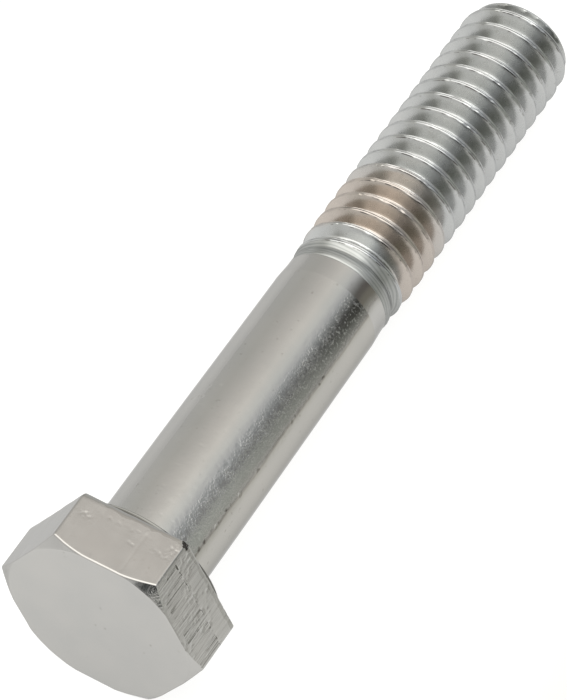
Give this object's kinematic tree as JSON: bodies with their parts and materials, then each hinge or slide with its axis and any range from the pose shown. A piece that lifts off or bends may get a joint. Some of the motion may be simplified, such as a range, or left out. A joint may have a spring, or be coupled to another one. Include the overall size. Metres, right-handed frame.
{
  "type": "hex bolt",
  "caption": "Bright plated hex head bolt with a plain shank, a washer face under the head and a coarse right-hand thread on its far half.",
  "frame": {"origin": "centre of the bearing face under the head, on the bolt's axis", "axes": "+Y along the bolt's axis towards its point, +Z square to one of the six flats, so the bolt lies with two flats level"},
  "size_m": [0.0144, 0.0549, 0.0124],
  "materials": {
    "plated_steel": "bright zinc or nickel plating over steel, buffed flat on the head, smooth orange-peel on the shank"
  },
  "bodies": {
    "root": {"hex_head": "plated_steel", "washer_face": "plated_steel", "plain_shank": "plated_steel", "runout_neck": "plated_steel", "threaded_end": "plated_steel"}
  },
  "joints": []
}
